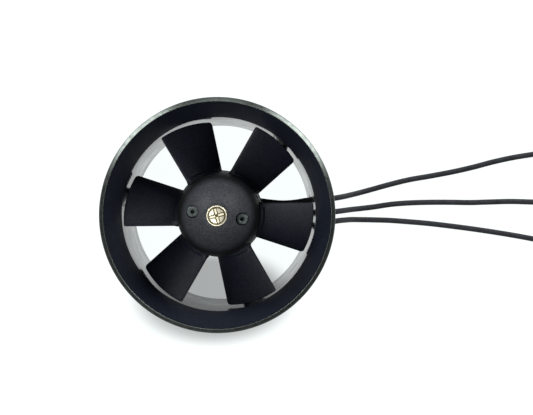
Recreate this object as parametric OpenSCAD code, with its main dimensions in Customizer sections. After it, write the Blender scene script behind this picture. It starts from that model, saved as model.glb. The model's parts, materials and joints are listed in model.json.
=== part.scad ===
// Electric ducted fan unit: a six-blade rotor in a flared duct, driven by an outrunner motor held in
// the stator cup behind it, with three free motor leads. +Z runs up the duct's axis from the exhaust
// rim, z = 0, to the intake lip, and the leads leave on the +X side. All sizes are millimetres.

/* [Duct] */
// Bore that the rotor runs in
bore_d = 64; // [63:0.5:65]
// Wall thickness of the duct tube
duct_wall = 1.8; // [1.4:0.1:2.2]
// Length from the exhaust rim to the intake lip
duct_len = 56; // [54:0.5:60]
// Height at which the straight tube ends and the flare begins
throat_z = 38.5; // [38:0.5:40]
// Diameter across the outside of the intake lip
lip_d = 74.1; // [73:0.1:75]
// Diameter of the crest of the intake lip
lip_crest_d = 71.2; // [70:0.1:71.4]

/* [Stator] */
// Outside diameter of the motor cup
cup_d = 29.8; // [29.4:0.1:30]
// Wall thickness of the motor cup
cup_wall = 1.3; // [1:0.1:1.4]
// Height of the cup's front face
cup_top_z = 26.2; // [26:0.1:26.4]
// Thickness of the cup's front wall
cup_front = 2; // [1.6:0.1:2.2]
// Number of stator vanes
vane_count = 3; // [3:1:3]
// Thickness of a stator vane
vane_t = 1.4; // [1:0.1:2]

/* [Rotor] */
// Number of rotor blades
blade_count = 6; // [4:1:7]
// Gap between a blade's tip and the bore
tip_gap = 0.8; // [0.4:0.1:1.2]
// Diameter of the rotor hub at its front, where the spinner meets it
hub_d = 27.7; // [27.4:0.1:27.9]
// Diameter of the rotor hub at its rear, next to the motor cup
hub_rear_d = 29.2; // [28.8:0.1:29.4]
// Height of the rotor hub's front face, which the spinner stands on
seat_z = 38.1; // [38:0.1:38.6]
// Thickest point of a blade at its root
blade_t_root = 1.7; // [1.2:0.1:2]
// Thickest point of a blade at its tip
blade_t_tip = 1.1; // [0.8:0.1:1.4]

/* [Spinner] */
// Height of the flat on the spinner's nose
nose_z = 61.5; // [60:0.5:63]
// Wall thickness of the spinner
spinner_wall = 1.3; // [1:0.1:1.6]
// Distance of each spinner screw from the axis
spinner_screw_x = 7.8; // [7.6:0.1:8]
// Direction of the line through the two spinner screws
spinner_screw_turn = -8.4; // [-20:0.1:20]

/* [Motor] */
// Diameter of the motor shaft
shaft_d = 3; // [3:0.1:3]
// Outside diameter of the motor bell
bell_d = 24.6; // [24:0.1:24.8]
// Number of magnets in the bell
magnet_count = 14; // [10:2:14]
// Number of stator teeth
tooth_count = 12; // [9:3:12]

/* [Leads] */
// Diameter of a motor lead
lead_d = 2; // [1.8:0.1:2]

/* [Hidden] */
$fn = 96;
eps = 0.01;

plastic = "#1d1e23";
gloss_plastic = "#26272c";
black_steel = "#17181b";
steel = "#b9bcc2";
alloy = "#9da3ad";
gold = "#d9bd77";
rubber = "#202124";
copper = "#a85a2c";
lamination = "#6f7378";
insulator = "#3f7a54";

// Duct and intake ring
bore_r = bore_d / 2;
tube_r = bore_r + duct_wall;
lip_r = lip_d / 2;
crest_r = lip_crest_d / 2;
lip_slope = 35;
lip_round = 0.5;
lip_step = 1.2;
lip_back_z = duct_len - 4;
sleeve_wall = 1.2;
sleeve_z = throat_z - 5;
rib_z = 9;
rib_t = 1.4;
rib_h = 1;
flare_steps = 12;
flare_curve = 1.15;

// Stator
cup_r = cup_d / 2;
cup_bottom_z = 2.5;
motor_face_z = cup_top_z - cup_front;
vane_turn = 49.8;
vane_top_z = 24;
vane_bottom_z = 6;
vane_shift = 4.3;
vane_steps = 8;
mount_screw_r = 8;
cooling_hole_x = 10.6;

// Rotor
tip_r = bore_r - tip_gap;
hub_r = hub_d / 2;
hub_rear_r = hub_rear_d / 2;
hub_bottom_z = 27;
hub_wall = 1.8;
web_t = 2.2;
blade_turn = 51.1;
blade_root_r = hub_rear_r - 1.4;
blade_rows = 8;
blade_cols = 9;
blade_ref_r = 14.5;
blade_half_ref = 6.08;
blade_half_slope = 0.16;
blade_front_ref_z = 38;
blade_front_slope = 0.21;
blade_rear_ref_z = 27.8;
blade_rear_slope = 0.04;
blade_bow = 1.1;
tip_corner = 1.1;

// Spinner: an elliptical dome cut off at the nose flat
spinner_r = hub_r - 0.15;
nose_flat_r = 4;
dome_h = (nose_z - seat_z) / sqrt(1 - pow(nose_flat_r / spinner_r, 2));
dome_steps = 20;
boss_r = 2.2;
head_seat_z = seat_z + 16.1;
head_r = 1.8;
head_h = 2;
head_chamfer = 0.2;
counterbore_r = 2;
socket_r = 0.87;
socket_depth = 1.1;
spinner_screw_r = 1;
spinner_screw_len = 19;

// Nose screw: a pan head with a cross recess
nose_screw_r = 1.5;
nose_screw_len = 14;
nose_head_r = 3.15;
nose_head_h = 2.1;
nose_rim_h = 0.6;
nose_cross_turn = 15.5;
nose_cross_len = 3.8;
nose_cross_w = 0.8;
nose_cross_depth = 1.3;

// Motor stack, from the base down to the bell's cap
shaft_r = shaft_d / 2;
post_r = 2.45;
bearing_r = 3;
bearing_w = 2.5;
front_bearing_z = 23.4;
rear_bearing_z = 9.3;
tube_outer_r = 4;
base_t = 2.2;
stack_z = 10;
stack_h = 6.6;
core_r = 10.2;
tooth_w = 1.5;
bell_r = bell_d / 2;
can_t = 0.8;
can_z = 5.6;
can_top_z = 18.6;
cap_z = 3.6;
magnet_t = 1.1;
magnet_z = 9.4;
magnet_h = 8;
shaft_bottom_z = 3.2;
shaft_top_z = 36;
cap_hub_r = 4.2;
cap_hub_top_z = 8.2;
window_r = 2.3;
window_x = 7.8;
bell_grub_z = 6.9;

// Shaft adapter
adapter_z = 27.2;
adapter_r = 4.4;
flange_z = 31;
flange_t = 2;
flange_r = 6.2;
post_top_z = 52;
washer_t = 0.8;
nut_h = 4;
nut_flats = 8;

// Leads: where each passes through the duct wall, its route inside and its route on the table
lead_r = lead_d / 2;
lead_exit_z = 14.5;
lead_exit_y = [4.6, 0, -3.9];
lead_names = ["top", "middle", "bottom"];
lead_sides = 8;
inner_routes = [
    [
        [7, 4, 19.1], [9.5, 4.4, 20.2], [12.5, 4.4, 20.2], [17, 3.9, 18.8], [22, 3.5, 16.8],
        [26.5, 3.8, 15.3], [31, 4.5, 14.5], [35.2, 4.6, 14.5]
    ],
    [
        [6.5, 0.5, 19.1], [9.5, 0.6, 20.2], [13, 0.8, 20.1], [18, 0.6, 18.6], [22, 0.3, 16.9],
        [26.5, 0, 15.2], [31, 0, 14.5], [35.2, 0, 14.5]
    ],
    [
        [6.5, -2.6, 19.1], [9.5, -3.1, 20.2], [13, -3.5, 20.1], [18, -3.9, 18.6], [22, -4.1, 16.9],
        [26.5, -4, 15.2], [31, -3.9, 14.5], [35.2, -3.9, 14.5]
    ]
];
outer_routes = [
    [
        [35.2, 4.6, 14.5], [38, 4.9, 14.2], [41.5, 5.4, 12.2], [44.5, 5.9, 8.8], [47.5, 6.5, 5],
        [51, 7.3, 2.2], [55.5, 8.5, 1.1], [62, 10.3, 1.1], [69, 12, 1.1], [77, 13.4, 1.1], [85, 14.9, 1.1],
        [93, 16.7, 1.1], [101, 18.8, 1.1], [108, 20.3, 1.1], [116, 21.6, 1.1], [122, 22.6, 1.6],
        [127, 23, 2.4], [132, 23, 2.4]
    ],
    [
        [35.2, 0, 14.5], [38, 0.2, 14.2], [41.5, 0.5, 12.2], [44.5, 0.8, 8.8], [47.5, 1.1, 5],
        [51, 1.4, 2.2], [55.5, 1.9, 1.1], [63, 3, 1.1], [70, 3.5, 1.1], [77, 3.7, 1.1], [85, 3.7, 1.1],
        [92, 3.6, 1.1], [99, 3.8, 1.1], [107, 4, 1.1], [115, 3.8, 1.1], [121.5, 3.6, 1.6],
        [127, 3.5, 2.4], [132, 3.5, 2.4]
    ],
    [
        [35.2, -3.9, 14.5], [38, -3.5, 14.2], [41.5, -2.9, 12.2], [44.5, -2.7, 8.8], [47.5, -2.6, 5],
        [51, -2.7, 2.2], [55.5, -2.8, 1.1], [62, -3, 1.1], [69, -3.5, 1.1], [76, -4.1, 1.1], [83, -4.9, 1.1],
        [93, -6.2, 1.1], [103, -7.7, 1.1], [109, -8.7, 1.1], [115, -9.8, 1.1], [121.5, -11, 1.6],
        [127, -11.4, 2.4], [132, -11.4, 2.4]
    ]
];
shrink_z = 2.4;
shrink_x = 127;
cup_x = 132;
shrink_len = 10.4;

// A unit vector along v
function unit(v) = v / norm(v);
// The direction of a route at its point i; both ends run along X
function heading(path, i) = i == 0 || i == len(path) - 1 ? [1, 0, 0] : unit(path[i + 1] - path[i - 1]);
// A ring of points round a route's point, square to its heading
function lead_ring(path, i) =
    let (
        ahead = heading(path, i),
        side = unit(cross([0, 0, 1], ahead)),
        up = cross(ahead, side)
    )
    [for (k = [0:lead_sides - 1])
        path[i] + lead_r * (cos(k * 360 / lead_sides) * side + sin(k * 360 / lead_sides) * up)];
// Side faces that join rows of n points, each row closed on itself
function skin_faces(rows, n) =
    [for (i = [0:rows - 2], k = [0:n - 1])
        each [
            [i * n + k, (i + 1) * n + k, (i + 1) * n + (k + 1) % n],
            [i * n + k, (i + 1) * n + (k + 1) % n, i * n + (k + 1) % n]
        ]];

// One lead, swept along its route
module lead_tube(path) {
    rings = len(path);
    points = [for (i = [0:rings - 1]) each lead_ring(path, i)];
    start_cap = [for (k = [0:lead_sides - 1]) k];
    end_cap = [for (k = [lead_sides - 1:-1:0]) (rings - 1) * lead_sides + k];
    color(rubber)
        polyhedron(points, concat(skin_faces(rings, lead_sides), [start_cap], [end_cap]));
}

// A tube along Z
module tube(r_out, r_in, z, h) {
    translate([0, 0, z])
        difference() {
            cylinder(r = r_out, h = h);
            translate([0, 0, -1])
                cylinder(r = r_in, h = h + 2);
        }
}

// A round bar along X with its low end at x
module bar_x(r, x, length) {
    translate([x, 0, 0])
        rotate([0, 90, 0])
            cylinder(r = r, h = length);
}

// An oval bar along X, its round ends centred at the two outer leads
module oval_bar_x(r, x, length) {
    centre_y = (lead_exit_y[0] + lead_exit_y[2]) / 2;
    span = lead_exit_y[0] - lead_exit_y[2];
    for (y = [lead_exit_y[0], lead_exit_y[2]])
        translate([0, y, lead_exit_z])
            bar_x(r, x, length);
    translate([x, centre_y - span / 2, lead_exit_z - r])
        cube([length, span, 2 * r]);
}

// ---- Duct ----

// The flared ring that pushes over the tube's front end; a sloping band leads from its crest to the lip
module intake_ring() {
    flare = [for (i = [0:flare_steps])
        let (t = i / flare_steps)
        [bore_r + (crest_r - bore_r) * pow(t, flare_curve), throat_z + (duct_len - throat_z) * t]];
    band_end_z = duct_len - (lip_r - lip_round - crest_r) * tan(lip_slope);
    band = [
        [lip_r - lip_round, band_end_z], [lip_r - 0.3 * lip_round, band_end_z - 0.3 * lip_round],
        [lip_r, band_end_z - lip_round]
    ];
    sleeve_r = tube_r + sleeve_wall;
    back = [
        [lip_r, lip_back_z + 0.4], [lip_r - 0.4, lip_back_z], [lip_r - lip_step, lip_back_z],
        [tube_r + 0.3, throat_z + 3.4], [sleeve_r, throat_z + 1.4], [sleeve_r, sleeve_z + 0.4],
        [sleeve_r - 0.4, sleeve_z], [tube_r, sleeve_z], [tube_r, throat_z]
    ];
    color(plastic)
        rotate_extrude($fn = 180)
            polygon(concat(flare, band, back));
}

// Curved section of a stator vane, drawn as sideways shift against height
module vane_section() {
    rise = vane_top_z - vane_bottom_z;
    sweep = 2 * atan(vane_shift / rise);
    camber_r = rise / sin(sweep);
    centre = vane_shift / 2 - camber_r;
    outer = [for (i = [0:vane_steps])
        let (a = sweep * i / vane_steps, r = camber_r + vane_t / 2)
        [centre + r * cos(a), vane_bottom_z + r * sin(a)]];
    nose = [for (i = [1:5])
        let (a = sweep + 30 * i, r = vane_t / 2)
        [
            centre + camber_r * cos(sweep) + r * cos(a),
            vane_bottom_z + camber_r * sin(sweep) + r * sin(a)
        ]];
    inner = [for (i = [vane_steps:-1:0])
        let (a = sweep * i / vane_steps, r = camber_r - vane_t / 2)
        [centre + r * cos(a), vane_bottom_z + r * sin(a)]];
    polygon(concat(outer, nose, inner));
}

module vanes() {
    for (i = [0:vane_count - 1])
        rotate([0, 0, vane_turn + i * 360 / vane_count])
            translate([cup_r - 0.9, 0, 0])
                rotate([90, 0, 90])
                    linear_extrude(tube_r - 1 - (cup_r - 0.9))
                        vane_section();
}

// The tube, its three vanes and the motor cup are one moulding; the rib stops a thrust tube that is
// pushed over the exhaust end
module duct_housing() {
    color(gloss_plastic)
        difference() {
            union() {
                rotate_extrude($fn = 180)
                    polygon([
                        [bore_r, 0], [tube_r - 0.4, 0], [tube_r, 0.4], [tube_r, rib_z],
                        [tube_r + rib_h - 0.2, rib_z], [tube_r + rib_h, rib_z + 0.2],
                        [tube_r + rib_h, rib_z + rib_t - 0.2], [tube_r + rib_h - 0.2, rib_z + rib_t],
                        [tube_r, rib_z + rib_t], [tube_r, throat_z], [bore_r, throat_z]
                    ]);
                rotate_extrude($fn = 120)
                    polygon([
                        [cup_r - cup_wall, cup_bottom_z], [cup_r - 0.4, cup_bottom_z],
                        [cup_r, cup_bottom_z + 0.4], [cup_r, cup_top_z - 0.4], [cup_r - 0.4, cup_top_z],
                        [0, cup_top_z], [0, motor_face_z], [cup_r - cup_wall, motor_face_z]
                    ]);
                vanes();
            }
            translate([0, 0, motor_face_z - 1])
                cylinder(r = tube_outer_r + 0.4, h = cup_front + 2);
            for (i = [0:3])
                rotate([0, 0, 45 + 90 * i]) {
                    translate([mount_screw_r, 0, motor_face_z - 1])
                        cylinder(r = 1.1, h = cup_front + 2, $fn = 48);
                    rotate([0, 0, 45])
                        translate([cooling_hole_x, 0, motor_face_z - 1])
                            cylinder(r = 1.7, h = cup_front + 2, $fn = 48);
                }
            translate([8, -5.3, 18])
                cube([cup_r - 7, 14, 4.4]);
            oval_bar_x(2, bore_r - 3, duct_wall + 5);
        }
}

// ---- Rotating group in the duct ----

// Half the arc that a blade covers at radius r, and the heights of its two edges
function blade_half_arc(r) = blade_half_ref + blade_half_slope * (r - blade_ref_r);
function blade_front_z(r) = blade_front_ref_z + blade_front_slope * (r - blade_ref_r);
function blade_rear_z(r) = blade_rear_ref_z + blade_rear_slope * (r - blade_ref_r);
// How much shorter the tip is at chord position t, for its rounded trailing corner
function tip_cut(t) =
    let (reach = tip_corner / (2 * blade_half_arc(tip_r)), x = max(0, (t - 1 + reach) / reach))
    tip_corner * (1 - sqrt(max(0, 1 - x * x)));
// One point of a blade: u runs from root to tip, t from leading to trailing edge, side is 1 or -1
function blade_point(u, t, side) =
    let (
        r = blade_root_r + u * (tip_r - tip_cut(t) - blade_root_r),
        thick = blade_t_root + u * (blade_t_tip - blade_t_root),
        half = blade_half_arc(r),
        drop = blade_front_z(r) - blade_rear_z(r),
        pitch = atan2(drop, 2 * half),
        bow = blade_bow * 4 * t * (1 - t),
        off = bow + side * thick * sqrt(max(0, pow(t, 0.7) * (1 - pow(t, 0.7)))),
        along = half * (1 - 2 * t) - off * sin(pitch),
        z = blade_front_z(r) - drop * t + off * cos(pitch),
        a = along / r * 180 / PI
    )
    [r * cos(a), r * sin(a), z];

module blade() {
    ts = [for (j = [0:blade_cols]) (1 - cos(180 * j / blade_cols)) / 2];
    loop = concat([for (j = [0:blade_cols]) [ts[j], 1]], [for (j = [blade_cols - 1:-1:1]) [ts[j], -1]]);
    n = len(loop);
    rows = blade_rows + 1;
    points = [for (i = [0:blade_rows]) each [for (c = loop) blade_point(i / blade_rows, c[0], c[1])]];
    root_cap = [for (k = [1:n - 2]) [0, k, k + 1]];
    tip_cap = [for (k = [1:n - 2]) [(rows - 1) * n, (rows - 1) * n + k + 1, (rows - 1) * n + k]];
    polyhedron(points, concat(skin_faces(rows, n), root_cap, tip_cap));
}

// Hub and blades, one moulding: a cup open towards the motor, with a boss round the adapter's post
module rotor() {
    inner_r = hub_r - hub_wall;
    inner_rear_r = hub_rear_r - hub_wall;
    web_z = seat_z - web_t;
    color(plastic)
        difference() {
            union() {
                rotate_extrude($fn = 120)
                    polygon([
                        [0, flange_z + flange_t], [6.5, flange_z + flange_t], [6.5, web_z],
                        [inner_r, web_z], [inner_rear_r, hub_bottom_z], [hub_rear_r, hub_bottom_z],
                        [hub_r, seat_z], [0, seat_z]
                    ]);
                for (i = [0:blade_count - 1])
                    rotate([0, 0, blade_turn + i * 360 / blade_count])
                        blade();
            }
            translate([0, 0, flange_z])
                cylinder(r = post_r, h = 10, $fn = 64);
            at_spinner_screws()
                translate([0, 0, web_z - 1])
                    cylinder(r = spinner_screw_r, h = web_t + 2, $fn = 32);
        }
}

module at_spinner_screws() {
    for (side = [0, 180])
        rotate([0, 0, spinner_screw_turn + side])
            translate([spinner_screw_x, 0, 0])
                children();
}

// Outline of a dome of base radius r and full height h, from the axis out to its rim
function dome_outline(r, h, top) =
    [for (i = [0:dome_steps])
        let (first = asin(min(1, top / h)), a = first * (1 - i / dome_steps))
        [r * cos(a), seat_z + h * sin(a)]];

module dome(r, h, top) {
    rotate_extrude($fn = 120)
        polygon(concat([[0, seat_z], [0, seat_z + top]], dome_outline(r, h, top)));
}

// The bullet-shaped spinner, with a boss for each of its screws and a pad under the nose screw
module spinner() {
    color(plastic)
        difference() {
            intersection() {
                dome(spinner_r, dome_h, nose_z - seat_z);
                union() {
                    difference() {
                        dome(spinner_r, dome_h, nose_z - seat_z);
                        translate([0, 0, -eps])
                            dome(spinner_r - spinner_wall, dome_h - spinner_wall, nose_z - seat_z - 4);
                    }
                    at_spinner_screws()
                        translate([0, 0, seat_z])
                            cylinder(r = boss_r, h = 20, $fn = 48);
                }
            }
            translate([0, 0, nose_z - 6])
                cylinder(r = nose_screw_r + 0.05, h = 8, $fn = 48);
            at_spinner_screws() {
                translate([0, 0, seat_z - 1])
                    cylinder(r = spinner_screw_r + 0.05, h = 30, $fn = 32);
                translate([0, 0, head_seat_z])
                    cylinder(r = counterbore_r, h = 10, $fn = 48);
            }
        }
}

module spinner_screws() {
    color(black_steel)
        at_spinner_screws()
            difference() {
                union() {
                    translate([0, 0, head_seat_z])
                        cylinder(r = head_r, h = head_h - head_chamfer, $fn = 48);
                    translate([0, 0, head_seat_z + head_h - head_chamfer])
                        cylinder(r1 = head_r, r2 = head_r - head_chamfer, h = head_chamfer, $fn = 48);
                    translate([0, 0, head_seat_z - spinner_screw_len])
                        cylinder(r = spinner_screw_r - 0.02, h = spinner_screw_len + eps, $fn = 32);
                }
                translate([0, 0, head_seat_z + head_h - socket_depth])
                    cylinder(r = socket_r, h = 2, $fn = 6);
            }
}

// Pan-head cross-recess screw that holds the spinner to the adapter's post
module nose_screw() {
    crown_z = nose_z + nose_rim_h;
    crown = [for (i = [0:8])
        let (t = i / 8, a = 90 - 82.8 * t)
        [nose_head_r * (0.75 * cos(a) + 0.25 * t), crown_z + (nose_head_h - nose_rim_h) * sin(a)]];
    cross_z = nose_z + nose_head_h - nose_cross_depth;
    rim = [[nose_head_r, nose_z + nose_rim_h / 2], [nose_head_r - 0.1, nose_z]];
    color(gold)
        difference() {
            union() {
                rotate_extrude($fn = 72)
                    polygon(concat([[0, nose_z]], crown, rim));
                translate([0, 0, nose_z - nose_screw_len])
                    cylinder(r = nose_screw_r - 0.02, h = nose_screw_len + eps, $fn = 40);
            }
            for (turn = [0, 90])
                rotate([0, 0, nose_cross_turn + turn])
                    translate([-nose_cross_len / 2, -nose_cross_w / 2, cross_z])
                        cube([nose_cross_len, nose_cross_w, 3]);
        }
}

module shaft_adapter() {
    color(alloy)
        difference() {
            union() {
                translate([0, 0, adapter_z])
                    cylinder(r = adapter_r, h = flange_z - adapter_z);
                translate([0, 0, flange_z])
                    cylinder(r = flange_r, h = flange_t);
                translate([0, 0, flange_z])
                    cylinder(r = post_r - 0.02, h = post_top_z - flange_z, $fn = 64);
            }
            translate([0, 0, adapter_z - 1])
                cylinder(r = shaft_r + 0.01, h = shaft_top_z + 0.5 - adapter_z + 1, $fn = 64);
            translate([0, 0, nose_z - 15])
                cylinder(r = nose_screw_r, h = 10, $fn = 40);
            grub_bars(1.25, 6);
        }
}

// Two short bars along Y through the adapter's body
module grub_bars(r, length) {
    for (turn = [90, 270])
        rotate([0, 0, turn])
            translate([0, 0, (adapter_z + flange_z) / 2])
                bar_x(r, shaft_r + 0.05, length);
}

module adapter_grub_screws() {
    color(black_steel)
        difference() {
            grub_bars(1.23, 2.7);
            for (turn = [90, 270])
                rotate([0, 0, turn])
                    translate([3, 0, (adapter_z + flange_z) / 2])
                        rotate([0, 90, 0])
                            cylinder(r = 0.65, h = 4, $fn = 6);
        }
}

module adapter_washer() {
    color(steel)
        tube(5, post_r + 0.05, seat_z, washer_t);
}

module adapter_nut() {
    color(steel)
        translate([0, 0, seat_z + washer_t])
            difference() {
                intersection() {
                    cylinder(r = nut_flats / sqrt(3), h = nut_h, $fn = 6);
                    rotate_extrude($fn = 72)
                        polygon([
                            [0, 0], [4.4, 0], [4.7, 0.3], [4.7, nut_h - 0.4], [4.2, nut_h], [0, nut_h]
                        ]);
                }
                translate([0, 0, -1])
                    cylinder(r = post_r, h = nut_h + 2, $fn = 64);
            }
}

// ---- Motor ----

module motor_shaft() {
    color(steel)
        rotate_extrude($fn = 64)
            polygon([
                [0, shaft_bottom_z], [shaft_r - 0.3, shaft_bottom_z], [shaft_r, shaft_bottom_z + 0.3],
                [shaft_r, shaft_top_z - 0.3], [shaft_r - 0.3, shaft_top_z], [0, shaft_top_z]
            ]);
}

// Spring clip that sits on the shaft in front of the front bearing
module shaft_clip() {
    color(black_steel)
        difference() {
            tube(2.6, shaft_r, front_bearing_z + bearing_w + 0.1, 0.5);
            translate([0, -0.5, front_bearing_z])
                cube([4, 1, 5]);
        }
}

module shaft_shim() {
    color(steel)
        tube(2, shaft_r, cap_hub_top_z, rear_bearing_z - cap_hub_top_z);
}

module bearing_inner_races() {
    color(steel)
        for (z = [front_bearing_z, rear_bearing_z])
            tube(1.9, shaft_r, z, bearing_w);
}

module bearing_outer_races() {
    color(steel)
        for (z = [front_bearing_z, rear_bearing_z])
            tube(bearing_r, 2.6, z, bearing_w);
}

module bearing_balls() {
    color(steel)
        for (z = [front_bearing_z, rear_bearing_z], i = [0:7])
            rotate([0, 0, 45 * i])
                translate([2.25, 0, z + bearing_w / 2])
                    sphere(r = 0.33, $fn = 24);
}

// Mounting plate with the bearing tube that carries the stator
module motor_base() {
    color(alloy)
        difference() {
            union() {
                translate([0, 0, motor_face_z - base_t])
                    cylinder(r = 11, h = base_t);
                translate([0, 0, 9.2])
                    cylinder(r = tube_outer_r, h = 16.8, $fn = 72);
            }
            translate([0, 0, 8])
                cylinder(r = 2.3, h = 20, $fn = 64);
            translate([0, 0, 8])
                cylinder(r = bearing_r, h = rear_bearing_z + bearing_w - 8, $fn = 64);
            translate([0, 0, front_bearing_z])
                cylinder(r = bearing_r, h = 5, $fn = 64);
            for (i = [0:3])
                rotate([0, 0, 45 + 90 * i])
                    translate([mount_screw_r, 0, motor_face_z - base_t - 1])
                        cylinder(r = 1, h = base_t + 2, $fn = 48);
        }
}

// Four pan-head screws that hold the motor to the cup's front wall
module motor_screws() {
    color(steel)
        for (i = [0:3])
            rotate([0, 0, 45 + 90 * i])
                translate([mount_screw_r, 0, 0])
                    difference() {
                        union() {
                            translate([0, 0, cup_top_z])
                                cylinder(r1 = 1.9, r2 = 1.5, h = 1.2, $fn = 40);
                            translate([0, 0, cup_top_z - 4])
                                cylinder(r = 0.98, h = 4 + eps, $fn = 32);
                        }
                        for (turn = [0, 90])
                            rotate([0, 0, turn])
                                translate([-1, -0.2, cup_top_z + 0.6])
                                    cube([2, 0.4, 2]);
                    }
}

module core_section() {
    difference() {
        union() {
            circle(r = 5, $fn = 72);
            for (i = [0:tooth_count - 1])
                rotate([0, 0, i * 360 / tooth_count])
                    translate([4.5, -tooth_w / 2])
                        square([5.2, tooth_w]);
            difference() {
                circle(r = core_r, $fn = 120);
                circle(r = core_r - 0.8, $fn = 120);
                for (i = [0:tooth_count - 1])
                    rotate([0, 0, (i + 0.5) * 360 / tooth_count])
                        translate([core_r - 2, -0.5])
                            square([4, 1]);
            }
        }
        circle(r = tube_outer_r, $fn = 72);
    }
}

module stator_core() {
    color(lamination)
        translate([0, 0, stack_z])
            linear_extrude(stack_h)
                core_section();
}

module stator_insulators() {
    color(insulator)
        for (z = [stack_z - 0.5, stack_z + stack_h])
            translate([0, 0, z])
                linear_extrude(0.5)
                    difference() {
                        union() {
                            circle(r = 5, $fn = 72);
                            for (i = [0:tooth_count - 1])
                                rotate([0, 0, i * 360 / tooth_count])
                                    translate([4.5, -tooth_w / 2])
                                        square([4.6, tooth_w]);
                        }
                        circle(r = tube_outer_r, $fn = 72);
                    }
}

// One coil round each tooth, its two end turns rounded
module windings() {
    coil_w = 2.8;
    low = stack_z;
    high = stack_z + stack_h;
    color(copper)
        for (i = [0:tooth_count - 1])
            rotate([0, 0, i * 360 / tooth_count])
                translate([6, 0, 0])
                    rotate([90, 0, 90])
                        linear_extrude(3)
                            difference() {
                                union() {
                                    translate([-coil_w / 2, low])
                                        square([coil_w, high - low]);
                                    for (z = [low, high])
                                        translate([0, z])
                                            circle(d = coil_w, $fn = 32);
                                }
                                translate([-tooth_w / 2, stack_z - 0.5])
                                    square([tooth_w, stack_h + 1]);
                            }
}

module bell_can() {
    color(black_steel)
        tube(bell_r, bell_r - can_t, can_z, can_top_z - can_z);
}

// Rear cap of the bell: a hub on the shaft and a rim, joined by spokes between six windows
module bell_cap() {
    color(alloy)
        difference() {
            rotate_extrude($fn = 120)
                polygon([
                    [0, cap_z], [bell_r - 0.5, cap_z], [bell_r, cap_z + 0.5], [bell_r, can_z],
                    [cap_hub_r, can_z], [cap_hub_r, cap_hub_top_z], [0, cap_hub_top_z]
                ]);
            for (i = [0:5])
                rotate([0, 0, 60 * i])
                    translate([window_x, 0, cap_z - 1])
                        cylinder(r = window_r, h = 4, $fn = 48);
            translate([0, 0, cap_z - 1])
                cylinder(r = shaft_r, h = 8, $fn = 64);
            translate([0, 0, bell_grub_z])
                bar_x(1, 0, 6);
        }
}

module bell_grub_screw() {
    color(black_steel)
        translate([0, 0, bell_grub_z])
            difference() {
                bar_x(0.98, shaft_r + 0.05, 2.5);
                translate([3, 0, 0])
                    rotate([0, 90, 0])
                        cylinder(r = 0.5, h = 4, $fn = 6);
            }
}

module magnets() {
    outer = bell_r - can_t;
    color(steel)
        for (i = [0:magnet_count - 1])
            rotate([0, 0, i * 360 / magnet_count])
                rotate_extrude(angle = 22, $fn = 180)
                    translate([outer - magnet_t, magnet_z])
                        square([magnet_t, magnet_h]);
}

// ---- Leads ----

// Curved rubber grommet in the duct wall, with a hole for each lead and a flange outside
module lead_grommet() {
    color(rubber)
        difference() {
            union() {
                intersection() {
                    oval_bar_x(2, bore_r - 5, duct_wall + 6);
                    tube(tube_r + 0.5, bore_r, lead_exit_z - 5, 10);
                }
                intersection() {
                    oval_bar_x(2.9, bore_r - 5, duct_wall + 8);
                    tube(tube_r + 1.1, tube_r, lead_exit_z - 5, 10);
                }
            }
            for (y = lead_exit_y)
                translate([0, y, lead_exit_z])
                    bar_x(lead_r, bore_r - 6, 14);
        }
}

module inner_leads() {
    for (path = inner_routes)
        lead_tube(path);
}

// Places a shape drawn along Z on the straight end of a lead
module at_lead_end(i, x) {
    translate([x, outer_routes[i][len(outer_routes[i]) - 1][1], shrink_z])
        rotate([0, 90, 0])
            children();
}

// Heat-shrink sleeve over a lead's end and the back of its bullet
module shrink_sleeve(i) {
    step = cup_x - shrink_x;
    color(rubber)
        at_lead_end(i, shrink_x)
            rotate_extrude($fn = 48)
                polygon([
                    [lead_r, 0], [lead_r + 0.35, 0], [lead_r + 0.4, step - 2.2], [2.3, step - 0.4],
                    [2.3, shrink_len - 0.3], [2.2, shrink_len], [1.9, shrink_len], [1.9, step],
                    [lead_r, step]
                ]);
}

// Gold-plated bullet: a solder cup, a collar and a sprung pin with a tapered nose
module bullet(i) {
    color(gold)
        at_lead_end(i, cup_x)
            difference() {
                rotate_extrude($fn = 48)
                    polygon([
                        [0, 0], [1.9, 0], [1.9, 5.8], [2.1, 6], [2.1, 6.6], [1.5, 6.8], [1.5, 7.6],
                        [1.75, 9.4], [1.75, 10.4], [1.5, 12], [1.5, 12.6], [1, 13.4], [0, 13.4]
                    ]);
                translate([0, 0, 10])
                    for (turn = [0, 90])
                        rotate([0, 0, turn])
                            translate([-3, -0.12, -2.2])
                                cube([6, 0.24, 4.2]);
            }
}

intake_ring();
duct_housing();
motor_base();
motor_screws();
bearing_outer_races();
bearing_balls();
stator_core();
stator_insulators();
windings();
lead_grommet();
inner_leads();
for (i = [0:2]) {
    lead_tube(outer_routes[i]);
    shrink_sleeve(i);
    bullet(i);
}
rotor();
spinner();
spinner_screws();
nose_screw();
shaft_adapter();
adapter_washer();
adapter_nut();
adapter_grub_screws();
motor_shaft();
shaft_clip();
shaft_shim();
bearing_inner_races();
bell_can();
bell_cap();
bell_grub_screw();
magnets();
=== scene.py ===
"""Looks of an electric ducted fan unit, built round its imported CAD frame.

Shapes are written in millimetres, in the CAD's own frame: +Z runs up the duct's axis from the exhaust rim,
and the leads leave on the +X side. Meshes are stored in metres.
"""
import json
from math import acos, asin, atan2, cos, pi, radians, sin, sqrt, tan

import bmesh
import bpy
from mathutils import Matrix, Vector


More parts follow.
